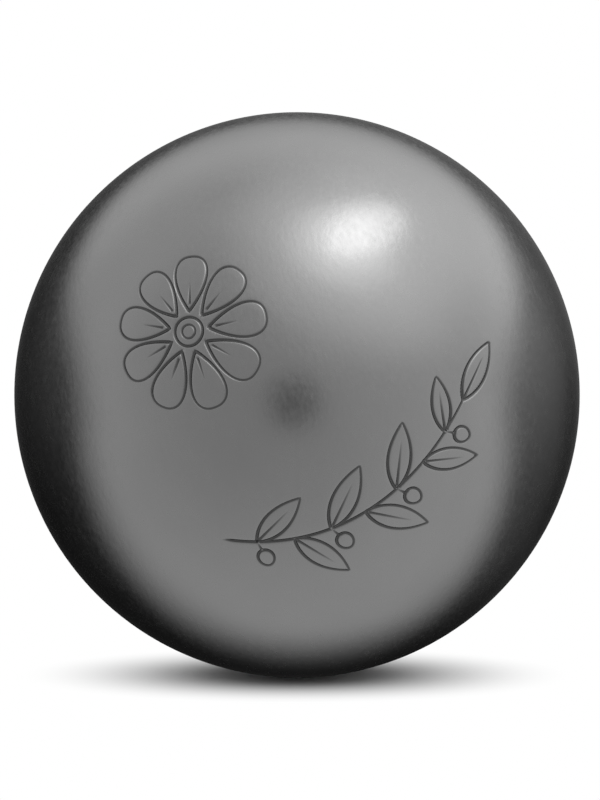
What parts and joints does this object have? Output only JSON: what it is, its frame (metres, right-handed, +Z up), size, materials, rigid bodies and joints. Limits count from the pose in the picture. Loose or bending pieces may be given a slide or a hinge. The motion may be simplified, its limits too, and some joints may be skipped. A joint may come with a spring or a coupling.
{
  "type": "petanque boule",
  "caption": "Hollow steel petanque boule of stamped half shells joined by a weld turned flush: a smooth satin ball to throw, with an engraved leaf and flower ornament on its front.",
  "frame": {"origin": "centre of the ball", "axes": "+Z up; Y is the common axis of the half shells, square to the weld plane, and -Y is the engraved front"},
  "size_m": [0.074, 0.074, 0.074],
  "materials": {
    "shell_steel": "dark bare steel, turned and polished to a fine satin",
    "weld_steel": "weld metal of the same steel, turned flush and polished with the shells"
  },
  "bodies": {
    "root": {"front_half_shell": "shell_steel", "rear_half_shell": "shell_steel", "weld_bead": "weld_steel"}
  },
  "joints": []
}
